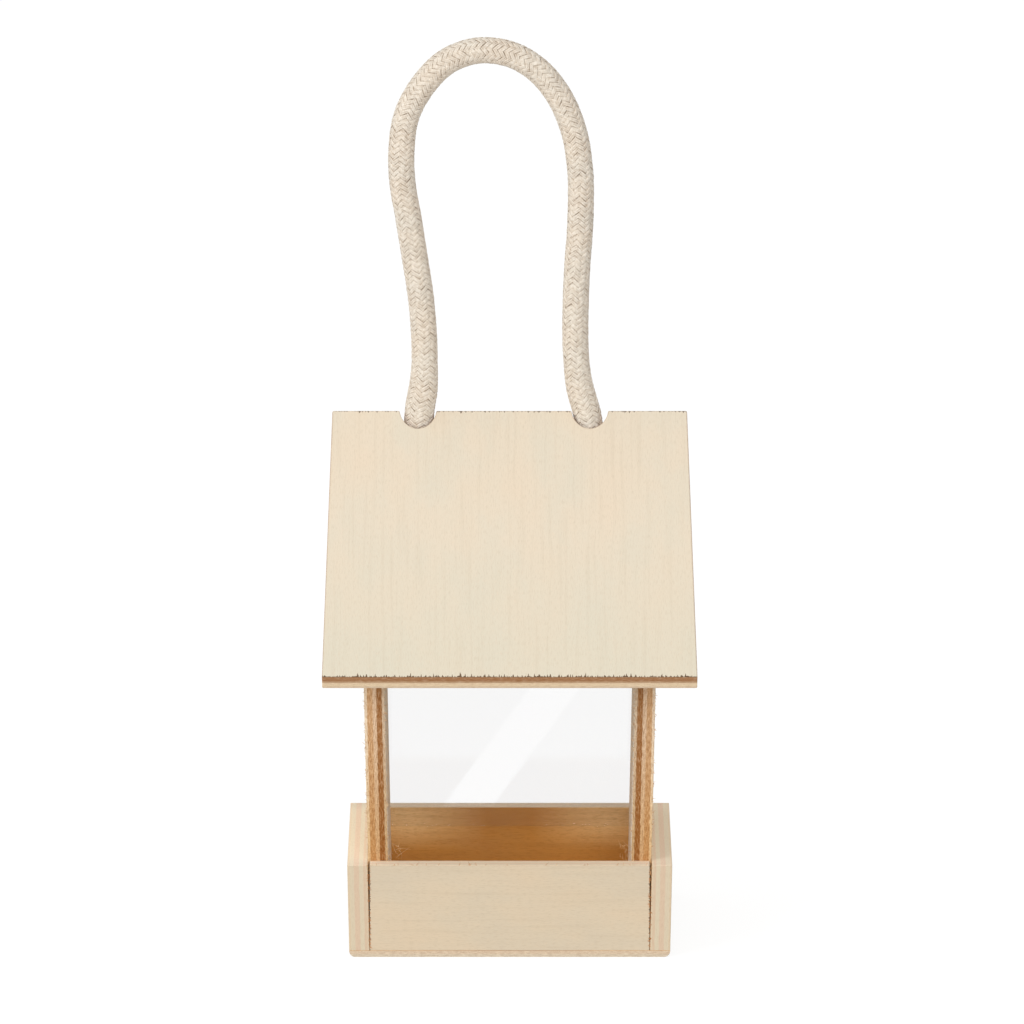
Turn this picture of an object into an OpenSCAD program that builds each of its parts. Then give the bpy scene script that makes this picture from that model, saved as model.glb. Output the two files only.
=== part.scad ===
// Small hanging bird feeder: an open-fronted plywood house on a square seed tray,
// with a clear rear window, a two-board gable roof and a rope loop to hang it by.
// X is the width, Y points to the back, Z is up. The origin is at the middle of
// the underside of the base.

/* [Boards] */
// Thickness of the plywood boards
board_t = 6.3; // [5:0.1:7]
// Thickness of the base board
base_t = 2; // [1.5:0.1:3]
// Radius of the base board's lower end edges
base_round = 1.9; // [0.5:0.1:1.9]

/* [Tray] */
// Width of the tray over both cheeks, at the rim
tray_w = 100; // [96:1:110]
// Depth of the tray, front to back
tray_d = 84; // [76:1:96]
// Height of the rim above the ground
tray_h = 29; // [26:1:34]
// How far the side boards splay outwards, in degrees
splay = 1.2; // [0:0.1:1.4]
// Gap between a tray panel's end and the cheek, at the foot
end_gap = 0.05; // [0.02:0.01:0.2]

/* [House] */
// Height of the roof ridge above the ground
ridge_z = 163.2; // [155:0.2:175]
// Thickness of the window pane
pane_t = 2; // [1.5:0.1:2.5]
// Depth of the pane's grooves in the side walls
groove_depth = 2.5; // [2:0.1:3]
// Wood left behind the pane's grooves
groove_lip = 2.5; // [2:0.1:4]
// How far the pane reaches below the tray rim
pane_below_rim = 5; // [3:0.5:8]

/* [Roof] */
// Length of the front board, down the slope
roof_l = 97.4; // [92:0.2:100]
// Width of the roof at the eaves
eave_w = 114.4; // [112:0.2:118]
// Width of the roof at the ridge
ridge_w = 109.4; // [106:0.2:112]
// Diameter of the rope holes
hole_d = 11.5; // [10.5:0.1:12]
// Distance of the rope holes' centres behind the ridge line
hole_y = 1.2; // [0.8:0.1:1.5]
// Distance from the middle to the left rope hole
hole_left = 28.3; // [27.5:0.1:28.5]
// Distance from the middle to the right rope hole
hole_right = 24.7; // [24:0.1:26]

/* [Rope] */
// Diameter of the braided rope
rope_d = 8; // [7.6:0.1:8.2]
// Diameter of the knots
knot_d = 18.4; // [17:0.1:18.6]
// Length of rope left below each knot
tail_l = 12; // [6:1:16]

/* [Hidden] */

pitch = 45;                          // slope of both roof boards
cheek_in = tray_w / 2 - board_t - out(tray_h);  // inner face of a cheek, at its foot
wall_in = cheek_in - board_t;        // inner face of a side wall, at its foot
panel_in = tray_d / 2 - board_t;     // inner face of the front and back panels
attic_z = ridge_z - board_t / cos(pitch);  // where the undersides of the roof meet
wall_top = attic_z - panel_in;       // height of a side wall's upright edges
groove_back = panel_in - groove_lip; // rear face of the pane's groove
pane_foot = tray_h - pane_below_rim; // lower edge of the pane
fit = 0.2;                           // room for the pane in its grooves
groove_mid = groove_back - (pane_t + fit) / 2;  // middle of the grooves and the pane
over = 1;                            // how far a cutter runs past what it cuts
round_fn = 48;

// The rope's course, from inside the left knot over the top to inside the right knot.
knot_z = attic_z - (knot_d / 2 + 0.3) / cos(pitch);
knot_left = 27.6;
knot_right = 24.6;
rope_points = [
    [-27.7, 0.6, 148.4], [-28.1, 1.0, 155], [-27.8, 1.0, 163], [-26.5, 0.8, 172],
    [-26.3, 0.6, 184], [-27.3, 0.4, 198], [-29.2, 0.2, 211], [-31.2, 0, 224], [-32.9, 0, 234],
    [-33.3, 0, 244], [-32.0, 0, 254.5], [-27.8, 0, 263.4], [-21.2, 0, 271.1], [-13.9, 0, 275],
    [-6.4, 0, 276], [2.2, 0, 274], [9.9, 0, 268.6], [15.8, 0, 260.6], [19.7, 0, 250.8],
    [21.3, 0, 242], [21.9, 0, 233], [21.6, 0.2, 220], [20.7, 0.4, 207], [20.2, 0.6, 190],
    [20.5, 0.8, 179.6], [21.5, 1.0, 171], [23.9, 1.0, 162], [24.7, 1.0, 155], [24.6, 0.6, 148.4]];
rope_sides = 10;
rope_steps = 2;                      // rings between one course point and the next

ply_light = "#e6d3b0";
ply_warm = "#d9c39c";
ply_edge = "#c99a66";
clear_grey = "#dfe6ea";
cotton = "#ddd0bd";

// ---- tray ----

// How far out a side board has moved at height z.
function out(z) = (z - base_t) * tan(splay);

// An upright board on one side, t thick and from z = low to high, whose inner face is
// at x = inner at the foot and splays outwards; side is -1 on the left, 1 on the right.
module splayed(side, inner, t, low, high, depth) {
    rotate([90, 0, 0])
        linear_extrude(depth, center = true)
            polygon([[side * (inner + out(low)), low],
                     [side * (inner + t + out(low)), low],
                     [side * (inner + t + out(high)), high],
                     [side * (inner + out(high)), high]]);
}

// A strip with its two lower end edges rounded, standing on z = 0.
module base_outline() {
    w = 2 * (cheek_in + board_t);
    difference() {
        translate([-w / 2, 0]) square([w, base_t]);
        for (s = [-1, 1])
            translate([s * (w / 2 - base_round), base_round])
                difference() {
                    translate([s > 0 ? 0 : -base_round - over, -base_round - over])
                        square([base_round + over, base_round + over]);
                    circle(r = base_round, $fn = round_fn);
                }
    }
}

module base_board() {
    color(ply_warm)
        translate([0, tray_d / 2, 0]) rotate([90, 0, 0])
            linear_extrude(tray_d) base_outline();
}

module cheek(side) {
    color(ply_edge) splayed(side, cheek_in, board_t, base_t, tray_h, tray_d);
}

// The board across the tray between the cheeks, with its front face at y. Its ends are
// upright, so the cracks beside it open towards the rim.
module tray_panel(y) {
    w = 2 * (cheek_in - end_gap);
    color(ply_light)
        translate([-w / 2, y, base_t]) cube([w, board_t, tray_h - base_t]);
}

module left_cheek() { cheek(-1); }
module right_cheek() { cheek(1); }
module front_panel() { tray_panel(-tray_d / 2); }
module back_panel() { tray_panel(panel_in); }

// ---- house ----

// The outline of the house seen from the side, as a block across the whole tray.
module gable_block() {
    rotate([90, 0, 90])
        linear_extrude(tray_w, center = true)
            polygon([[-panel_in, base_t], [panel_in, base_t], [panel_in, wall_top],
                     [0, attic_z], [-panel_in, wall_top]]);
}

// A gabled side wall with a stopped groove for the pane in its inner face.
module wall(side) {
    color(ply_edge)
        difference() {
            intersection() {
                splayed(side, wall_in, board_t, base_t, attic_z, tray_d);
                gable_block();
            }
            translate([0, groove_mid, 0])
                splayed(side, wall_in - over, groove_depth + over, pane_foot, attic_z,
                        pane_t + fit);
        }
}

module left_wall() { wall(-1); }
module right_wall() { wall(1); }

module window_pane() {
    top = attic_z - groove_back - fit;
    edge = wall_in + groove_depth - fit;
    color(clear_grey, 0.4)
        translate([0, groove_mid, 0]) rotate([90, 0, 0])
            linear_extrude(pane_t, center = true)
                polygon([[-edge - out(pane_foot), pane_foot], [edge + out(pane_foot), pane_foot],
                         [edge + out(top), top], [-edge - out(top), top]]);
}

// ---- roof ----

// A tapering roof board lying flat, with its upper edge on y = 0 and its top face
// on z = 0; trim is how much shorter it is than the front board, at the ridge.
module roof_blank(trim) {
    upper = ridge_w / 2 + (eave_w - ridge_w) / 2 * trim / roof_l;
    translate([0, 0, -board_t])
        linear_extrude(board_t)
            polygon([[-upper, -trim], [upper, -trim],
                     [eave_w / 2, -roof_l], [-eave_w / 2, -roof_l]]);
}

module rope_holes() {
    for (x = [-hole_left, hole_right])
        translate([x, hole_y, ridge_z - 3 * board_t])
            cylinder(h = 4 * board_t, d = hole_d, $fn = round_fn);
}

// The front board laps over the upper edge of the back one.
module front_roof_board() {
    color(ply_light)
        difference() {
            translate([0, 0, ridge_z]) rotate([pitch, 0, 0]) roof_blank(0);
            rope_holes();
        }
}

module back_roof_board() {
    color(ply_light)
        difference() {
            translate([0, 0, ridge_z]) rotate([pitch, 0, 180]) roof_blank(board_t);
            rope_holes();
        }
}

// ---- rope ----

function unit(v) = v / norm(v);

// A point of the smooth curve through four neighbouring course points.
function spline(a, b, c, d, t) =
    ((2 * b) + (c - a) * t + (2 * a - 5 * b + 4 * c - d) * t * t
     + (3 * b - a - 3 * c + d) * t * t * t) / 2;

function at(pts, i) = pts[max(0, min(len(pts) - 1, i))];

function smooth(pts, steps) =
    concat([for (i = [0 : len(pts) - 2], k = [0 : steps - 1])
               spline(at(pts, i - 1), at(pts, i), at(pts, i + 1), at(pts, i + 2), k / steps)],
           [pts[len(pts) - 1]]);

// One ring of the tube around point i of its line; the line runs in X and Z, so
// the rings share +Y as one of their two axes.
function ring(line, i, d, sides) =
    let (ahead = unit(at(line, i + 1) - at(line, i - 1)),
         across = unit(cross([0, 1, 0], ahead)),
         up = cross(ahead, across))
    [for (k = [0 : sides - 1])
        line[i] + d / 2 * (cos(360 * k / sides) * across + sin(360 * k / sides) * up)];

module tube(line, d, sides) {
    n = len(line);
    faces = concat(
        [[for (k = [0 : sides - 1]) k]],
        [for (i = [0 : n - 2], k = [0 : sides - 1])
            let (a = i * sides + k, b = i * sides + (k + 1) % sides)
            [a, a + sides, b + sides, b]],
        [[for (k = [sides - 1 : -1 : 0]) (n - 1) * sides + k]]);
    polyhedron([for (i = [0 : n - 1]) each ring(line, i, d, sides)], faces, convexity = 4);
}

module rope_handle() {
    color(cotton) tube(smooth(rope_points, rope_steps), rope_d, rope_sides);
}

// An overhand knot as a ball, with the rope's end hanging from it.
module knot(x) {
    color(cotton)
        translate([x, 0, knot_z]) {
            sphere(d = knot_d, $fn = round_fn);
            translate([0, 0, -knot_d / 2 - tail_l])
                cylinder(h = tail_l + knot_d / 2, d = rope_d, $fn = round_fn);
        }
}

module left_knot() { knot(-knot_left); }
module right_knot() { knot(knot_right); }

base_board();
left_cheek();
right_cheek();
front_panel();
back_panel();
left_wall();
right_wall();
window_pane();
front_roof_board();
back_roof_board();
rope_handle();
left_knot();
right_knot();
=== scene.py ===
"""Looks of the hanging bird feeder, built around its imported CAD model.

Everything is in metres in the feeder's own frame: X to the right, Y to the back, Z up,
with the middle of the base's underside at the origin.
"""

import math
import random

import bpy
import numpy as np
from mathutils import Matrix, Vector

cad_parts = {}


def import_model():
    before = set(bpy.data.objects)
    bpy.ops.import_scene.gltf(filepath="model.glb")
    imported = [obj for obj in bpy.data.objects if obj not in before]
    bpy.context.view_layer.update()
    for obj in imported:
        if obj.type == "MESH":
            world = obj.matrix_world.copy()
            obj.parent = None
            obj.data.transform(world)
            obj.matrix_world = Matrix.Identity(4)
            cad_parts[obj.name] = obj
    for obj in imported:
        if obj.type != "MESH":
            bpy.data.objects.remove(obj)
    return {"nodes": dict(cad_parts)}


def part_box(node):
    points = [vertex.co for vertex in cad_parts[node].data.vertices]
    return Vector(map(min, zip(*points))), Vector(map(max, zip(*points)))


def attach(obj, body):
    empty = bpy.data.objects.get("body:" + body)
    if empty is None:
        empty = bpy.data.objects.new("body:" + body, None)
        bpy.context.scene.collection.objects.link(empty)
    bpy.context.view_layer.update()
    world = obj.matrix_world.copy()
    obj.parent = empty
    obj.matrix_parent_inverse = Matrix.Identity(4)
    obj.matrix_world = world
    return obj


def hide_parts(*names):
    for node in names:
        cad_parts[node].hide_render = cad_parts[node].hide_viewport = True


MM = 0.001
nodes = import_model()["nodes"]
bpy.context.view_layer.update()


# ---- camera ----

VIEW_PITCH = math.radians(12)  # how far the camera looks down
VIEW_WIDTH = 316.5 * MM  # what the picture spans at the feeder
VIEW_DISTANCE = 4.0
VIEW_AIM = Vector((0.7, 0, 131.2)) * MM


def make_camera():
    data = bpy.data.cameras.new("camera")
    data.sensor_width = 36
    data.lens = data.sensor_width * VIEW_DISTANCE / VIEW_WIDTH
    data.clip_end = 50
    cam = bpy.data.objects.new("camera", data)
    cam.location = VIEW_AIM + VIEW_DISTANCE * Vector(
        (0, -math.cos(VIEW_PITCH), math.sin(VIEW_PITCH))
    )
    cam.rotation_euler = (math.pi / 2 - VIEW_PITCH, 0, 0)
    bpy.context.scene.collection.objects.link(cam)
    bpy.context.scene.camera = cam


make_camera()


# ---- node graphs ----


class Graph:
    """Short calls that add shader nodes to a new material."""

    def __init__(self, name):
        self.material = bpy.data.materials.new(name)
        self.material.use_nodes = True
        self.tree = self.material.node_tree
        self.shader = self.tree.nodes["Principled BSDF"]
        self.point = self.add("ShaderNodeTexCoord").outputs["Object"]

    def add(self, kind, **settings):
        node = self.tree.nodes.new(kind)
        for key, value in settings.items():
            setattr(node, key, value)
        return node

    def feed(self, socket, value):
        if isinstance(value, bpy.types.NodeSocket):
            self.tree.links.new(value, socket)
        elif isinstance(value, (tuple, list)) and len(socket.default_value) == 4:
            socket.default_value = (*value[:3], 1)
        else:
            socket.default_value = value

    def math(self, operation, a, b=0.0):
        node = self.add("ShaderNodeMath", operation=operation)
        for socket, value in zip(node.inputs, (a, b)):
            self.feed(socket, value)
        return node.outputs[0]

    def dot(self, vector, direction):
        node = self.add("ShaderNodeVectorMath", operation="DOT_PRODUCT")
        self.feed(node.inputs[0], vector)
        self.feed(node.inputs[1], direction)
        return node.outputs["Value"]

    def vector(self, x, y, z):
        node = self.add("ShaderNodeCombineXYZ")
        for socket, value in zip(node.inputs, (x, y, z)):
            self.feed(socket, value)
        return node.outputs[0]

    def noise(self, vector, scale=1.0, detail=2.0, rough=0.5):
        node = self.add("ShaderNodeTexNoise")
        self.feed(node.inputs["Vector"], vector)
        self.feed(node.inputs["Scale"], scale)
        self.feed(node.inputs["Detail"], detail)
        self.feed(node.inputs["Roughness"], rough)
        return node.outputs[0]

    def span(self, value, low, high, to_low=0.0, to_high=1.0):
        """value mapped from low..high to to_low..to_high, and kept there."""
        node = self.add("ShaderNodeMapRange")
        for socket, v in zip(node.inputs, (value, low, high, to_low, to_high)):
            self.feed(socket, v)
        return node.outputs[0]

    def ramp(self, value, stops):
        node = self.add("ShaderNodeValToRGB")
        self.feed(node.inputs[0], value)
        elements = node.color_ramp.elements
        while len(elements) < len(stops):
            elements.new(0.5)
        for element, (at, colour) in zip(elements, stops):
            element.position = at
            element.color = (*colour, 1)
        return node.outputs[0]

    def mix(self, share, a, b, mode="MIX"):
        node = self.add("ShaderNodeMix", data_type="RGBA", blend_type=mode)
        for socket, value in zip(
            (node.inputs[0], node.inputs[6], node.inputs[7]), (share, a, b)
        ):
            self.feed(socket, value)
        return node.outputs[2]

    def bump(self, height, distance, strength):
        node = self.add("ShaderNodeBump")
        self.feed(node.inputs["Strength"], strength)
        self.feed(node.inputs["Distance"], distance)
        self.feed(node.inputs["Height"], height)
        self.feed(self.shader.inputs["Normal"], node.outputs[0])


def srgb(r, g, b):
    """A colour given as 0 to 255 display values, in the linear values nodes use."""
    return tuple(
        ((v / 255 + 0.055) / 1.055) ** 2.4 if v > 10 else v / 3294 for v in (r, g, b)
    )


# ---- rope ----

ROPE_D = 8 * MM
# The rope's course, from inside the left knot over the top to inside the right one.
ROPE_POINTS = [
    Vector(p) * MM
    for p in [
        (-27.7, 0.6, 148.4), (-28.1, 1.0, 155), (-27.8, 1.0, 163), (-26.5, 0.8, 172),
        (-26.3, 0.6, 184), (-27.3, 0.4, 198), (-29.2, 0.2, 211), (-31.2, 0, 224),
        (-32.9, 0, 234), (-33.3, 0, 244), (-32.0, 0, 254.5), (-27.8, 0, 263.4),
        (-21.2, 0, 271.1), (-13.9, 0, 275), (-6.4, 0, 276), (2.2, 0, 274), (9.9, 0, 268.6),
        (15.8, 0, 260.6), (19.7, 0, 250.8), (21.3, 0, 242), (21.9, 0, 233),
        (21.6, 0.2, 220), (20.7, 0.4, 207), (20.2, 0.6, 190), (20.5, 0.8, 179.6),
        (21.5, 1.0, 171), (23.9, 1.0, 162), (24.7, 1.0, 155), (24.6, 0.6, 148.4),
    ]
]  # fmt: skip


def spline(points, steps):
    """A smooth line through the points, with so many steps from each to the next."""
    line = []
    last = len(points) - 1
    for i in range(last):
        a, b, c, d = (points[min(max(k, 0), last)] for k in range(i - 1, i + 3))
        for k in range(steps):
            t = k / steps
            square = (2 * a - 5 * b + 4 * c - d) * t * t
            cube = (3 * b - a - 3 * c + d) * t**3
            line.append((2 * b + (c - a) * t + square + cube) / 2)
    return line + [points[-1]]


def even(line, step):
    """The line with points about step apart, as an array, and its length."""
    points = np.array([tuple(p) for p in line])
    along = np.concatenate([[0], np.cumsum(np.linalg.norm(np.diff(points, axis=0), axis=1))])
    at = np.linspace(0, along[-1], max(3, round(along[-1] / step) + 1))
    return np.stack([np.interp(at, along, points[:, k]) for k in range(3)], axis=1), along[-1]


def travelling_axes(points):
    """A unit tangent and two unit normals at each point, turned as little as possible."""
    ahead = np.gradient(points, axis=0)
    ahead /= np.linalg.norm(ahead, axis=1)[:, None]
    side = np.zeros_like(ahead)
    first = np.cross(ahead[0], (0, 1, 0))
    side[0] = first / np.linalg.norm(first)
    for i in range(1, len(points)):
        s = side[i - 1] - ahead[i] * (side[i - 1] @ ahead[i])
        side[i] = s / np.linalg.norm(s)
    return ahead, side, np.cross(ahead, side)


def grid_faces(rings, sides, start):
    """Quads joining rings of points, numbered from start, closed round and at both ends."""
    faces = [
        (
            start + i * sides + k,
            start + i * sides + (k + 1) % sides,
            start + (i + 1) * sides + (k + 1) % sides,
            start + (i + 1) * sides + k,
        )
        for i in range(rings - 1)
        for k in range(sides)
    ]
    faces.append(tuple(start + k for k in reversed(range(sides))))
    faces.append(tuple(start + (rings - 1) * sides + k for k in range(sides)))
    return faces


def new_piece(name, points, faces, material, smooth=True):
    mesh = bpy.data.meshes.new(name)
    mesh.from_pydata([tuple(p) for p in points], [], faces)
    mesh.validate()
    for polygon in mesh.polygons:
        polygon.use_smooth = smooth
    mesh.materials.append(material)
    piece = bpy.data.objects.new(name, mesh)
    bpy.context.scene.collection.objects.link(piece)
    return piece


BRAID_STRANDS = 12  # each way round
BRAID_PITCH = 20.4 * MM  # one strand's full turn
BRAID_TWIST = 7  # how far the whole braid turns, in radians for each metre
# On a rope of full thickness: how far strands rise and sink where they cross, how high
# their tops are crowned, how high a yarn stands on them, and how far down they reach.
WAVE, CROWN, RIDGE, STRAND_DEPTH = 0.15 * MM, 0.1 * MM, 0.1 * MM, 0.5 * MM
STRAND_OVERLAP = 1.06  # a strand's width over the room it has
FLATNESS = 1.7  # how long a strand stays up or down between two crossings
DRIFT_OUT, DRIFT_ROUND = 0.02 * MM, 0.022  # a strand's unevenness, the second in radians
SWELL_REACH, SWELL_RISE = 30 * MM, 10 * MM  # where it starts, and the length it grows over
CORE_SIDES = 12


def braid(name, line, diameter, step, yarns, material, swell=(0, 0)):
    """A round braid, two over and two under, of flat strands of a few yarns each.

    swell is how much thicker it gets towards its first and its last end.
    """
    points, length = even(line, step)
    ahead, side, up = travelling_axes(points)
    s = np.linspace(0, length, len(points))
    scale = diameter / ROPE_D
    wave, crown, ridge = WAVE * scale, CROWN * scale, RIDGE * scale
    middle = diameter / 2 - wave - crown - ridge
    first, last = (np.clip((SWELL_REACH - d) / SWELL_RISE, 0, 1) for d in (s, length - s))
    girth = 1 + swell[0] * first + swell[1] * last
    turn = 2 * math.pi / BRAID_PITCH
    twist = 0.3 + BRAID_TWIST * s
    lean = math.atan(turn * middle)
    width = 2 * math.pi * middle * math.cos(lean) / BRAID_STRANDS * STRAND_OVERLAP
    # The strand's section: yarns side by side on a crowned top, and a flat underside.
    across = np.linspace(-1, 1, 2 * yarns + 1)
    height = crown * (1 - across**2) + ridge * (np.arange(2 * yarns + 1) % 2)
    section = [*zip(across, height), *((x, -STRAND_DEPTH * scale) for x in (0.7, -0.7))]
    # deep also sets how much painted shade each point of a strand gets.
    deep = [1, *([0, 0.6] * (yarns - 1)), 0, 1, 1, 1]  # how far down in a furrow each is
    rng = random.Random(11)
    verts, faces, furrow_shades = [], [], []
    for way in (1, -1):
        for i in range(BRAID_STRANDS):
            drift = sum(
                rng.uniform(-1, 1) * np.sin(s * rng.uniform(150, 700) + rng.uniform(0, 6))
                for _ in range(5)
            )
            angle = 2 * math.pi * i / BRAID_STRANDS + way * turn * s
            other = BRAID_STRANDS * (angle + way * turn * s) / (2 * math.pi)
            weave = np.sin(math.pi / 2 * (i + other) + 0.4)
            over = way * np.clip(FLATNESS * weave, -1, 1)  # 1 on top, -1 underneath
            rings = []
            for a, h in section:
                off = a * width / 2
                r = (middle * girth + wave * over + h + DRIFT_OUT * drift)[:, None]
                t = (angle + twist + DRIFT_ROUND * drift + off * math.cos(lean) / middle)[:, None]
                rings.append(
                    points
                    - ahead * way * off * math.sin(lean)
                    + r * (side * np.cos(t) + up * np.sin(t))
                )
            faces += grid_faces(len(points), len(section), len(verts))
            verts += list(np.stack(rings, axis=1).reshape(-1, 3))
            # Painted shade: darker down between the yarns, and where a strand dips under the one
            # crossing it; the core gets it in full.
            low = np.clip(0.5 - 0.5 * over, 0, 1)
            furrow_shades += [min(1, d + 0.5 * k) for k in low for d in deep]
    core = middle - wave - 0.15 * MM
    round_it = np.arange(CORE_SIDES) * 2 * math.pi / CORE_SIDES
    rings = [points + core * (side * math.cos(t) + up * math.sin(t)) for t in round_it]
    faces += grid_faces(len(points), CORE_SIDES, len(verts))
    verts += list(np.stack(rings, axis=1).reshape(-1, 3))
    furrow_shades += [1] * (len(verts) - len(furrow_shades))
    piece = new_piece(name, verts, faces, material)
    piece.data.attributes.new("furrow", "FLOAT", "POINT").data.foreach_set("value", furrow_shades)
    return piece, points, length


def cotton_material():
    g = Graph("cotton_braid")
    mm = g.add("ShaderNodeVectorMath", operation="SCALE")
    g.feed(mm.inputs[0], g.point)
    mm.inputs["Scale"].default_value = 1 / MM
    fine = g.noise(mm.outputs[0], 1.2, 2, 0.7)
    broad = g.noise(mm.outputs[0], 0.12, 2, 0.5)
    colour = g.ramp(fine, [(0.32, srgb(196, 179, 158)), (0.68, srgb(243, 234, 220))])
    warm = g.ramp(broad, [(0.35, srgb(239, 225, 207)), (0.65, srgb(236, 229, 216))])
    colour = g.mix(0.4, colour, warm)
    # Painted shade from the braid's furrow attribute: darker between the yarns and under the
    # crossings, in patches.
    furrow = g.add("ShaderNodeAttribute", attribute_name="furrow").outputs["Fac"]
    patchy = g.span(g.noise(mm.outputs[0], 0.45, 2), 0.42, 0.62, 0.1, 1)
    shade = g.math("MULTIPLY", g.math("POWER", furrow, 1.9), patchy)
    colour = g.mix(shade, colour, srgb(154, 131, 107))
    g.feed(g.shader.inputs["Base Color"], colour)
    g.shader.inputs["Roughness"].default_value = 0.95
    g.shader.inputs["Specular IOR Level"].default_value = 0.15
    g.shader.inputs["Sheen Weight"].default_value = 0.15
    g.bump(g.noise(mm.outputs[0], 7, 2, 0.6), 0.06 * MM, 0.6)
    return g.material


def overhand_knot(name, top, centre, diameter, tail, material):
    """One overhand knot: down from top, once round and through itself, and out below."""
    size = 4.4 * MM
    turns = [
        (0.0, 0.0, 1.9), (0.35, -0.55, 1.25), (1.15, -0.75, 0.55), (1.05, 0.35, -0.15),
        (0.1, 1.15, -0.55), (-1.0, 0.5, -0.75), (-1.05, -0.55, -0.15), (-0.3, -0.95, 0.45),
        (0.25, -0.2, 0.75), (0.3, 0.75, 0.45), (0.0, 0.55, -0.5), (-0.1, 0.05, -1.45),
    ]  # fmt: skip
    line = [top] + [centre + size * Vector(p) for p in turns] + [centre - Vector((0, 0, tail))]
    return braid(name, spline(line, 10), diameter, 1.3 * MM, 1, material)[0]


SMOOTH_STEPS = 12  # between two points of the rope's course
ROPE_FLUFF = 1.03  # how much thicker the rope is over its yarns than its nominal diameter
ROPE_SWELL = (0.15, 0.08)  # how much thicker it gets towards its left and right ends
KNOT_ROPE_D = 7.2 * MM  # the rope is pulled thin in its knots


def make_rope():
    cotton = cotton_material()
    course = spline(ROPE_POINTS, SMOOTH_STEPS)
    rope, path, length = braid(
        "braided_rope", course, ROPE_D * ROPE_FLUFF, 0.7 * MM, 2, cotton, ROPE_SWELL
    )
    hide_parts("rope_handle")
    knots = []
    for node, end in (("left_knot", ROPE_POINTS[0]), ("right_knot", ROPE_POINTS[-1])):
        low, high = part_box(node)
        centre = (low + high) / 2
        radius = (high.x - low.x) / 2
        centre.z = high.z - radius
        tail = centre.z - low.z - 0.5 * MM
        knot = overhand_knot("tied_" + node, end, centre, KNOT_ROPE_D, tail, cotton)
        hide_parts(node)
        knots.append(knot)
    for piece in [rope, *knots]:
        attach(piece, "root")


make_rope()


# ---- plywood ----

SPLAY = math.radians(1.2)  # how far the side boards splay outwards


class Veneer:
    """Colours of a sanded face: its ground, pores, and warm and cool patches.

    fade is a colour it takes on, the two distances from the origin along the grain where
    that starts and ends, and how much of it; then maybe two distances across the grain.
    """

    def __init__(self, ground, pores, warm, cool, fade=None):
        self.ground, self.pores = srgb(*ground), srgb(*pores)
        self.warm, self.cool = srgb(*warm), srgb(*cool)
        self.fade = fade


def veneer_colour(g, along, across, deep, look):
    """The colour and height of a sanded face whose grain runs along one direction, in mm."""
    sway = g.math("MULTIPLY", g.noise(g.vector(along, across, deep), 0.05, 2), 1.6)
    over = g.math("ADD", across, sway)
    pores = g.noise(g.vector(g.math("MULTIPLY", along, 0.16), over, deep), 3.4, 2, 0.6)
    streaks = g.noise(g.vector(g.math("MULTIPLY", along, 0.03), over, deep), 0.75, 3, 0.6)
    fleck = g.noise(g.vector(g.math("MULTIPLY", along, 0.5), over, deep), 1.3, 2, 0.6)
    patch = g.noise(g.vector(g.math("MULTIPLY", along, 0.5), over, deep), 0.055, 3, 0.55)
    colour = g.mix(g.span(patch, 0.46, 0.7, 0, 0.6), look.ground, look.warm)
    colour = g.mix(g.span(patch, 0.5, 0.3, 0, 0.6), colour, look.cool)
    # A colour shift along, and maybe across, the grain; on the tray's inner faces it is painted
    # light.
    if look.fade:
        tint, near, far, share, *rise = look.fade
        amount = g.span(g.math("ABSOLUTE", along), near, far, 0, share)
        if rise:
            amount = g.math("MULTIPLY", amount, g.span(g.math("ABSOLUTE", across), *rise))
        colour = g.mix(amount, colour, srgb(*tint))
    colour = g.mix(g.span(streaks, 0.5, 0.68, 0, 0.16), colour, look.pores)
    colour = g.mix(g.span(fleck, 0.56, 0.7, 0, 0.25), colour, look.warm)
    colour = g.mix(g.span(pores, 0.5, 0.68, 0, 0.3), colour, look.pores)
    return colour, g.math("SUBTRACT", streaks, pores)


def layers_colour(g, run, depth, waver, plies):
    """The layers' colours on an edge, by depth in mm, with slightly wavy borders."""
    level = g.math("ADD", depth, g.span(waver, 0.3, 0.7, -0.16, 0.16))
    thick = sum(t for t, _ in plies)
    stops, at, soft = [], 0.0, 0.016
    for t, colour in plies:
        stops += [(max(0, at / thick + soft), srgb(*colour))]
        at += t
        stops += [(min(1, at / thick - soft), srgb(*colour))]
    return g.ramp(g.math("DIVIDE", level, thick), stops)


def edge_colour(g, run, along, depth, end_on, waver, plies, sawn, wear, foot_shade):
    """The colour and height of an edge; run is the place along it, in mm."""
    edge = layers_colour(g, run, depth, waver, plies)
    fibres = g.noise(g.vector(g.math("MULTIPLY", run, 0.2), depth, 0), 2.8, 3, 0.65)
    cells = g.noise(g.vector(run, depth, 0), 2.4, 2, 0.7)
    edge = g.mix(g.span(fibres, 0.42, 0.68, 0, wear), edge, srgb(150, 104, 62), "MULTIPLY")
    edge = g.mix(g.span(cells, 0.54, 0.7, 0, wear), edge, srgb(172, 128, 88), "MULTIPLY")
    edge = g.mix(g.span(fibres, 0.5, 0.3, 0, 0.25), edge, srgb(246, 230, 206))
    edge = g.mix(end_on, edge, srgb(*sawn), "MULTIPLY")
    # Painted shade: the edges darken towards their low end along the grain.
    if foot_shade:
        tint, low, high = foot_shade
        edge = g.mix(g.span(along, low, high, 1, 0), edge, srgb(*tint), "MULTIPLY")
    return edge, g.math("ADD", fibres, cells)


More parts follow.
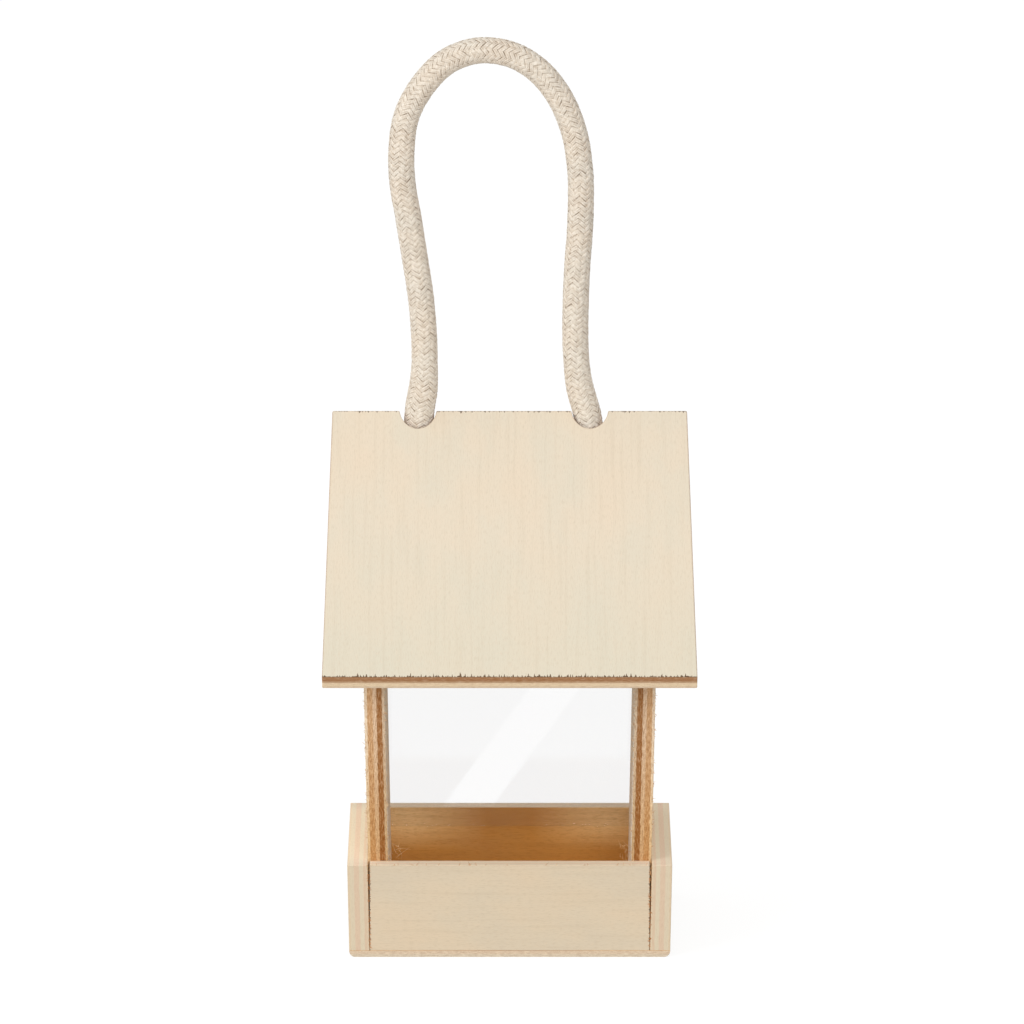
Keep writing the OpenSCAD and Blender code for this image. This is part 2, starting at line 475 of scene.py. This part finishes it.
def with_splinters(g, face, along, across, ends, tear):
    """The face's colour, torn out in clusters of fine teeth where it was sawn across."""
    teeth = g.noise(g.vector(across, 0, 0), 1.5, 1, 0.7)
    cluster = g.noise(g.vector(across, 0, 0), 0.16, 2, 0.6)
    teeth = g.math("ADD", teeth, g.span(cluster, 0.35, 0.65, -0.06, 0.06))
    tall = g.math("POWER", g.span(teeth, 0.44, 0.76), 1.5)
    for place, way, far in zip(ends, (1, -1), tear):
        gap = g.math("MULTIPLY", g.math("SUBTRACT", along, place), way)
        reach = g.math("MULTIPLY", g.math("ADD", tall, 0.14), far)
        torn = g.span(g.math("SUBTRACT", reach, gap), -0.02, 0.12, 0, 0.9)
        face = g.mix(torn, face, srgb(92, 64, 40))
    return face


def ply_material(name, outward, grain, start, faces, plies, ends, tear, sawn, wear, foot_shade):
    """Plywood seen from any side.

    outward is the outer face's normal, grain runs along the outer veneer, and start is a
    point on the outer face. faces are the looks of the outer and the inner veneer. plies
    are the (thickness in mm, colour) of the layers, from the outer face in. ends are the
    lowest and highest place along the grain, in mm, where the board was sawn across.
    tear is how far splinters have torn out at each of them, and sawn is the colour that
    the layers are darkened by there. wear is how dark the edges' fibres are. The last one
    is painted shade: a colour that the edges are darkened by, and the places along the
    grain where that is full and where it has faded out.
    """
    g = Graph(name)
    outward, grain = Vector(outward).normalized(), Vector(grain).normalized()
    side = outward.cross(grain)
    offset = Vector(start).dot(outward) / MM
    depth = g.math("SUBTRACT", offset, g.dot(g.point, tuple(outward / MM)))
    along = g.dot(g.point, tuple(grain / MM))
    across = g.dot(g.point, tuple(side / MM))
    normal = g.add("ShaderNodeNewGeometry").outputs["Normal"]
    facing = g.dot(normal, tuple(outward))
    end_on = g.math("ABSOLUTE", g.dot(normal, tuple(grain)))

    outer, height = veneer_colour(g, along, across, depth, faces[0])
    inner, _ = veneer_colour(g, along, across, depth, faces[1])
    face = g.mix(g.span(facing, -0.2, 0.2), inner, outer)
    face = with_splinters(g, face, along, across, ends, tear)

    # Along any one edge either along or across stays the same, so their sum runs on it.
    run = g.math("ADD", along, across)
    waver = g.noise(g.vector(run, 0, 0), 0.35, 3, 0.6)
    edge, edge_height = edge_colour(
        g, run, along, depth, end_on, waver, plies, sawn, wear, foot_shade
    )
    is_edge = g.span(g.math("ABSOLUTE", facing), 0.5, 0.85, 1, 0)
    arris = g.span(g.math("ABSOLUTE", g.math("SUBTRACT", facing, 0.75)), 0.06, 0.22, 1, 0)
    arris = g.math("MULTIPLY", arris, g.span(waver, 0.35, 0.6, 0.25, 0.8))
    colour = g.mix(is_edge, face, edge)
    colour = g.mix(arris, colour, srgb(176, 146, 112), "MULTIPLY")
    g.feed(g.shader.inputs["Base Color"], colour)
    g.shader.inputs["Roughness"].default_value = 0.9
    g.shader.inputs["Specular IOR Level"].default_value = 0.0
    rough = g.math("MULTIPLY", is_edge, edge_height)
    g.bump(g.math("ADD", height, rough), 0.07 * MM, 0.5)
    return g.material


ROOF_FACE = Veneer(
    (226, 213, 192), (199, 182, 156), (230, 211, 187), (219, 211, 192),
    fade=((215, 209, 189), 70, 25, 0.5),
)  # fmt: skip
PANEL_FACE = Veneer((216, 199, 173), (190, 170, 141), (221, 198, 168), (208, 194, 172))
SIDE_FACE = Veneer((226, 212, 188), (200, 184, 156), (228, 208, 180), (220, 210, 188))
# Painted light: the posts' inner faces are nearly white, to lift the shade they stand in.
WALL_INSIDE = Veneer((254, 243, 226), (234, 214, 186), (254, 238, 214), (248, 240, 224))
# Painted shade and painted light on the tray's inner faces: a deeper, darker orange than the
# outer veneers stands in for the shade and warm bounce inside the tray, and it turns lighter
# towards the corners and the top.
INSIDE_FACE = Veneer(
    (205, 148, 80), (170, 112, 54), (214, 151, 76), (198, 142, 84),
    fade=((255, 216, 156), 7, 31, 1, 15, 24),
)  # fmt: skip
WALL_PLIES = [
    (0.85, (246, 224, 194)),
    (1.7, (215, 171, 125)),
    (1.2, (230, 198, 164)),
    (1.7, (172, 121, 74)),
    (0.85, (220, 196, 166)),
]
# Painted light: these layers are paler than the wood, to lighten the cheeks' and panels' edges
# that lie in the roof's shade.
CHEEK_PLIES = [
    (0.6, (255, 235, 206)),
    (1.4, (255, 241, 216)),
    (1.6, (255, 230, 205)),
    (1.3, (255, 242, 217)),
    (0.7, (254, 229, 202)),
    (0.7, (255, 236, 209)),
]
ROOF_PLIES = [
    (2.3, (184, 135, 95)),
    (0.9, (212, 176, 139)),
    (1.9, (255, 229, 192)),
    (1.2, (241, 216, 184)),
]
BASE_PLIES = [(1.0, (216, 199, 174)), (1.0, (219, 196, 168))]
WHITE, SAWN = (255, 255, 255), (218, 214, 207)
# Painted shade: the posts' edges darken towards their foot, in and just above the tray.
POST_FOOT_SHADE = ((238, 224, 198), 38, 72)
POST_WEAR, TRAY_WEAR = 0.5, 0.1


def sawn_ends(name, grain):
    """The lowest and highest place of a board along a direction, in mm."""
    places = [v.co.dot(Vector(grain)) / MM for v in nodes[name].data.vertices]
    return min(places), max(places)


def finish_board(
    name, outward, grain, start, faces, plies, tear=(0.2, 0.2), sawn=WHITE, arris=0.3,
    wear=0.26, foot_shade=None,
):
    """Gives a CAD board its plywood and small worn arrises, arris mm wide."""
    board = nodes[name]
    board.data.materials.clear()
    board.data.materials.append(
        ply_material(
            name + "_ply", outward, grain, start, faces, plies, sawn_ends(name, grain), tear,
            sawn, wear, foot_shade,
        )
    )
    weld = board.modifiers.new("weld", "WELD")
    weld.merge_threshold = 0.01 * MM
    flat = board.modifiers.new("flat", "DECIMATE")
    flat.decimate_type = "DISSOLVE"
    flat.angle_limit = math.radians(1)
    bevel = board.modifiers.new("arris", "BEVEL")
    bevel.width = arris * MM
    bevel.segments = 2
    bevel.limit_method = "ANGLE"
    bevel.angle_limit = math.radians(40)


def make_roof():
    slope = math.radians(45)
    ridge = Vector((0, 0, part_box("front_roof_board")[1].z))
    faces = (ROOF_FACE, SIDE_FACE)
    for name, way in (("front_roof_board", -1), ("back_roof_board", 1)):
        outward = (0, way * math.sin(slope), math.cos(slope))
        grain = (0, way * math.cos(slope), -math.sin(slope))
        finish_board(name, outward, grain, ridge, faces, ROOF_PLIES, tear=(1.2, 1.9), arris=0.35)


def make_sides():
    """The posts and the cheeks; the posts' outer veneer runs up, the cheeks' to the back."""
    for side, way in (("left", -1), ("right", 1)):
        outward = (way * math.cos(SPLAY), 0, -math.sin(SPLAY))
        up = (way * math.sin(SPLAY), 0, math.cos(SPLAY))
        for name, grain, faces, plies, sawn, wear, foot_shade in (
            ("_wall", up, (SIDE_FACE, WALL_INSIDE), WALL_PLIES, WHITE, POST_WEAR, POST_FOOT_SHADE),
            ("_cheek", (0, 1, 0), (SIDE_FACE, INSIDE_FACE), CHEEK_PLIES, SAWN, TRAY_WEAR, None),
        ):
            low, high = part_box(side + name)
            top = Vector((low.x if way < 0 else high.x, 0, high.z))
            finish_board(
                side + name, outward, grain, top, faces, plies, sawn=sawn, arris=0.25,
                wear=wear, foot_shade=foot_shade,
            )


def make_tray():
    grain, faces = (1, 0, 0), (PANEL_FACE, INSIDE_FACE)
    for name, way in (("front_panel", -1), ("back_panel", 1)):
        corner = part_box(name)[0 if way < 0 else 1]
        finish_board(
            name, (0, way, 0), grain, corner, faces, CHEEK_PLIES, tear=(0.6, 0.6), sawn=SAWN,
            arris=0.2, wear=TRAY_WEAR,
        )
    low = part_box("base_board")[0]
    finish_board("base_board", (0, 0, -1), grain, low, faces, BASE_PLIES, arris=0.12)


make_roof()
make_sides()
make_tray()


# ---- torn fibres ----

FIBRE_RINGS, FIBRE_SIDES = 6, 3
POST_TOP = 88 * MM  # seen from the front, the eave hides the posts above this


def fibre_material(rim):
    """Pale straw above the tray's rim, and deeper in colour in the cracks below it."""
    g = Graph("torn_fibre")
    tone = g.noise(g.point, 700, 2)
    straw = g.ramp(tone, [(0.35, srgb(212, 158, 100)), (0.65, srgb(238, 206, 160))])
    height = g.dot(g.point, (0, 0, 1 / MM))
    low = g.span(height, rim / MM - 3, rim / MM - 1, 1, 0)
    g.feed(g.shader.inputs["Base Color"], g.mix(low, straw, srgb(206, 142, 84)))
    g.shader.inputs["Roughness"].default_value = 0.8
    return g.material


def make_fibres():
    """Wisps of torn wood on the posts' arrises, in the cracks and on the front rim."""
    rng = random.Random(5)
    slant = math.tan(SPLAY)
    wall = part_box("right_wall")
    inside, front = wall[0].x, wall[0].y
    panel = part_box("front_panel")
    rim, face = panel[1].z, panel[0].y
    crack = panel[1].x
    verts, faces = [], []

    def wisp(start, aim, length, curl, thick):
        """One tapering fibre, length mm long and thick mm in radius, that curls a little."""
        start, aim = Vector(start), Vector(aim).normalized()
        bend = Vector([rng.uniform(-1, 1) for _ in range(3)]) * curl
        side = aim.orthogonal().normalized()
        other = aim.cross(side)
        for k in range(FIBRE_RINGS):
            t = k / (FIBRE_RINGS - 1)
            centre = start + length * MM * (aim * t + bend * t * t)
            r = thick * MM * (1 - 0.8 * t)
            for c in range(FIBRE_SIDES):
                a = c * 2 * math.pi / FIBRE_SIDES
                verts.append(centre + r * (side * math.cos(a) + other * math.sin(a)))
        first = len(verts) - FIBRE_RINGS * FIBRE_SIDES
        faces.extend(grid_faces(FIBRE_RINGS, FIBRE_SIDES, first))

    def out(z):
        return slant * (z - wall[0].z)

    for way in (-1, 1):
        for _ in range(110):  # fuzz up the posts' front arrises
            z = rng.uniform(rim, POST_TOP)
            x, turn = (inside, -1) if rng.random() < 0.6 else (crack, 1)
            aim = (way * turn * rng.uniform(0.3, 1), rng.uniform(-0.6, 0.1), rng.uniform(-0.7, 1))
            wisp((way * (x + out(z)), front, z), aim, rng.uniform(0.3, 1.0), 0.4, 0.1)
        for _ in range(22):  # wisps where a post meets the tray
            z = rim + rng.uniform(-1.5, 5) * MM
            x = inside + rng.uniform(-3, 0.5) * MM
            aim = (-way * rng.uniform(-0.6, 1), rng.uniform(-0.8, 0.2), rng.uniform(-0.3, 1))
            wisp((way * x, front, z), aim, rng.uniform(0.8, 2.8), 1.3, 0.09)
        for _ in range(70):  # torn fibres bridging the crack
            z = rng.uniform(3 * MM, rim)
            x = crack + rng.uniform(0, 1) * out(z)
            aim = (rng.choice((-1, 1)), rng.uniform(-0.3, 0), rng.uniform(-0.8, 0.8))
            wisp((way * x, face, z), aim, rng.uniform(0.3, 0.8), 0.3, 0.14)
    for _ in range(26):  # splinters along the front rim
        x = rng.uniform(-0.98, 0.98) * crack
        aim = (rng.uniform(-1, 1), rng.uniform(-0.3, 0.3), rng.uniform(0.2, 1))
        wisp((x, face + 0.2 * MM, rim), aim, rng.uniform(0.4, 1.4), 0.5, 0.11)

    fibres = new_piece("torn_fibres", verts, faces, fibre_material(rim))
    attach(fibres, "root")


make_fibres()


# ---- window ----


def make_window():
    # The low alpha weakens the reflection too, so the IOR is above acrylic's 1.49.
    g = Graph("clear_acrylic")
    g.feed(g.shader.inputs["Base Color"], (0.3, 0.285, 0.29))
    g.shader.inputs["Roughness"].default_value = 0.02
    g.shader.inputs["IOR"].default_value = 2.2
    g.shader.inputs["Specular IOR Level"].default_value = 1.0
    g.shader.inputs["Alpha"].default_value = 0.078
    pane = nodes["window_pane"]
    pane.data.materials.clear()
    pane.data.materials.append(g.material)


make_window()


# ---- floor and light ----


def glowing(name, colour, strength, albedo=0.0):
    """A material that gives off light, over a matt grey of that albedo."""
    g = Graph(name)
    g.feed(g.shader.inputs["Base Color"], (albedo,) * 3)
    g.shader.inputs["Roughness"].default_value = 1.0
    g.shader.inputs["Specular IOR Level"].default_value = 0.0
    g.feed(g.shader.inputs["Emission Color"], colour)
    g.shader.inputs["Emission Strength"].default_value = strength
    return g.material


def make_floor():
    """A white light table: its glow keeps the ground white, and lights no matt surface."""
    half = 15
    corners = [(-half, -half, 0), (half, -half, 0), (half, half, 0), (-half, half, 0)]
    white = glowing("light_table", (1, 1, 1), 0.84, albedo=0.23)
    floor = new_piece("studio_floor", corners, [(0, 1, 2, 3)], white, smooth=False)
    floor.visible_diffuse = False


TENT_STRENGTH = 0.68  # in the directions across TENT_SLANT
TENT_SLANT = (-0.21, -0.06, 0.1)  # towards the bright side; its length is the gain there


def make_world():
    """A light tent, a little brighter on the left, in front and above."""
    world = bpy.data.worlds.new("light_tent")
    bpy.context.scene.world = world
    world.use_nodes = True
    tree = world.node_tree
    background = tree.nodes["Background"]
    background.inputs["Color"].default_value = (1, 1, 1, 1)
    direction = tree.nodes.new("ShaderNodeTexCoord").outputs["Generated"]
    dot = tree.nodes.new("ShaderNodeVectorMath")
    dot.operation = "DOT_PRODUCT"
    dot.inputs[1].default_value = TENT_SLANT
    tree.links.new(direction, dot.inputs[0])
    total = tree.nodes.new("ShaderNodeMath")
    total.inputs[1].default_value = TENT_STRENGTH
    tree.links.new(dot.outputs["Value"], total.inputs[0])
    tree.links.new(total.outputs[0], background.inputs["Strength"])


def area(name, place, size, power):
    """A round lamp aimed at the middle of the house."""
    data = bpy.data.lights.new(name, "AREA")
    data.shape = "DISK"
    data.size = size
    data.energy = power
    light = bpy.data.objects.new(name, data)
    light.location = place
    aim = Vector((0, 0, 80 * MM)) - Vector(place)
    light.rotation_euler = aim.to_track_quat("-Z", "Y").to_euler()
    bpy.context.scene.collection.objects.link(light)


def make_reflection_card():
    """A slanting light strip that only shows as a reflection in the window."""
    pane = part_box("window_pane")[0]
    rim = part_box("back_panel")[1].z
    y = -30 * MM
    drop = (pane.y - y) * math.tan(VIEW_PITCH)  # it shows higher in the pane by this
    low, high = rim - drop, rim + 42 * MM - drop
    left, width, lean = -21.1 * MM, 15.9 * MM, 30.2 * MM
    corners = [
        (left, y, low), (left + width, y, low),
        (left + width + lean, y, high), (left + lean, y, high),
    ]  # fmt: skip
    glow = glowing("strip", (1, 1, 1), 1.9)
    card = new_piece("reflection_card", corners, [(0, 1, 2, 3)], glow, smooth=False)
    card.visible_camera = card.visible_diffuse = card.visible_shadow = False
    card.visible_transmission = False


make_floor()
make_world()
area("key", (-1.5, -1.5, 1.3), size=1.0, power=10)
area("front", (0.2, -2.4, 0.85), size=0.9, power=18)
make_reflection_card()
bpy.context.scene.view_settings.view_transform = "Standard"
